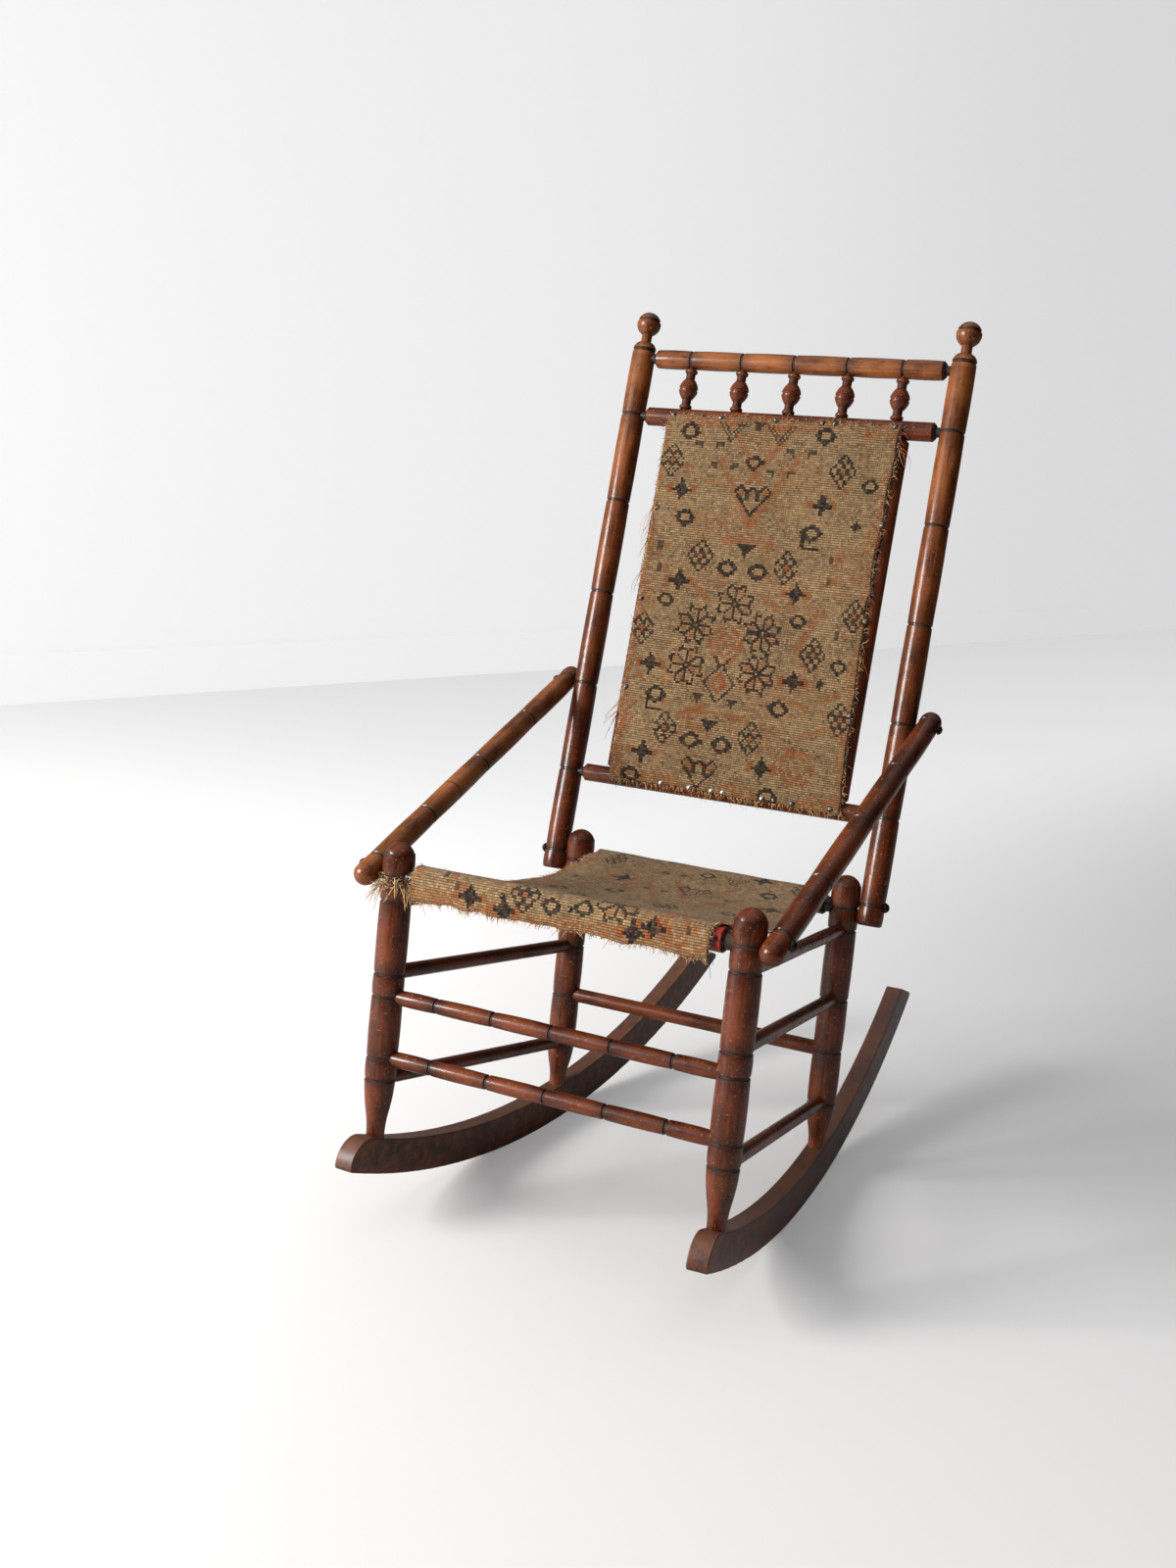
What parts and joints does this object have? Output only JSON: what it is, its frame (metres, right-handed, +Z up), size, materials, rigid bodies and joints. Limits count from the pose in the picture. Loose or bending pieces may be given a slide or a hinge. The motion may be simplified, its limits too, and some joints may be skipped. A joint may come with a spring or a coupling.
{
  "type": "rocking chair",
  "caption": "Turned wooden rocking chair with ring-grooved bamboo-like legs and posts, a carpet seat and back, rod arms and a spindled top.",
  "frame": {"origin": "centre of the chair's bounding box, on the floor that the rockers stand on", "axes": "+Z up, the chair faces -Y, +X to the sitter's left"},
  "size_m": [0.4706, 0.795, 0.938],
  "materials": {
    "red_brown_wood": "worn varnish",
    "golden_wood": "worn varnish",
    "dark_wood": "worn, dull",
    "carpet": "woven, worn",
    "tacks": "tarnished",
    "screws": "blackened"
  },
  "bodies": {
    "base": {"front_seat_rail": "red_brown_wood", "rear_seat_rail": "red_brown_wood", "upper_front_stretcher": "red_brown_wood", "lower_front_stretcher": "red_brown_wood", "rear_stretcher": "red_brown_wood", "seat_side_rail_left": "red_brown_wood", "middle_side_stretcher_left": "red_brown_wood", "lower_side_stretcher_left": "red_brown_wood", "seat_side_rail_right": "red_brown_wood", "middle_side_stretcher_right": "red_brown_wood", "lower_side_stretcher_right": "red_brown_wood", "pivot_screws": "screws", "front_leg_left": "red_brown_wood", "rear_leg_left": "red_brown_wood", "rocker_left": "dark_wood", "front_leg_right": "red_brown_wood", "rear_leg_right": "red_brown_wood", "rocker_right": "dark_wood", "seat_carpet": "carpet", "seat_tacks": "tacks"},
    "back": {"arm_screws": "screws", "spindle_1": "red_brown_wood", "spindle_2": "red_brown_wood", "spindle_3": "red_brown_wood", "spindle_4": "red_brown_wood", "spindle_5": "red_brown_wood", "stile_left": "red_brown_wood", "stile_right": "red_brown_wood", "lower_back_rail": "red_brown_wood", "upper_back_rail": "red_brown_wood", "top_rail": "golden_wood", "post_left": "golden_wood", "post_right": "golden_wood", "back_carpet": "carpet", "back_tacks": "tacks"},
    "arm_left": {"front_arm_screw_left": "screws", "arm_left": "golden_wood"},
    "arm_right": {"front_arm_screw_right": "screws", "arm_right": "golden_wood"}
  },
  "joints": [
    {"name": "back_fold", "type": "hinge", "parent": "base", "child": "back", "pos_m": [0, 0.02842, 0.31402], "axis": [1, 0, 0], "range_deg": [0, 90]},
    {"name": "arm_left_fold", "type": "hinge", "parent": "back", "child": "arm_left", "pos_m": [0.2183, 0.07653, 0.50557], "axis": [1, 0, 0], "range_deg": [-120, 0]},
    {"name": "arm_right_fold", "type": "hinge", "parent": "back", "child": "arm_right", "pos_m": [-0.2183, 0.07653, 0.50557], "axis": [1, 0, 0], "range_deg": [-120, 0]}
  ],
  "couplings": [
    {"joint": "arm_left_fold", "follows": "back_fold", "ratio": -1.3333},
    {"joint": "arm_right_fold", "follows": "back_fold", "ratio": -1.3333}
  ]
}
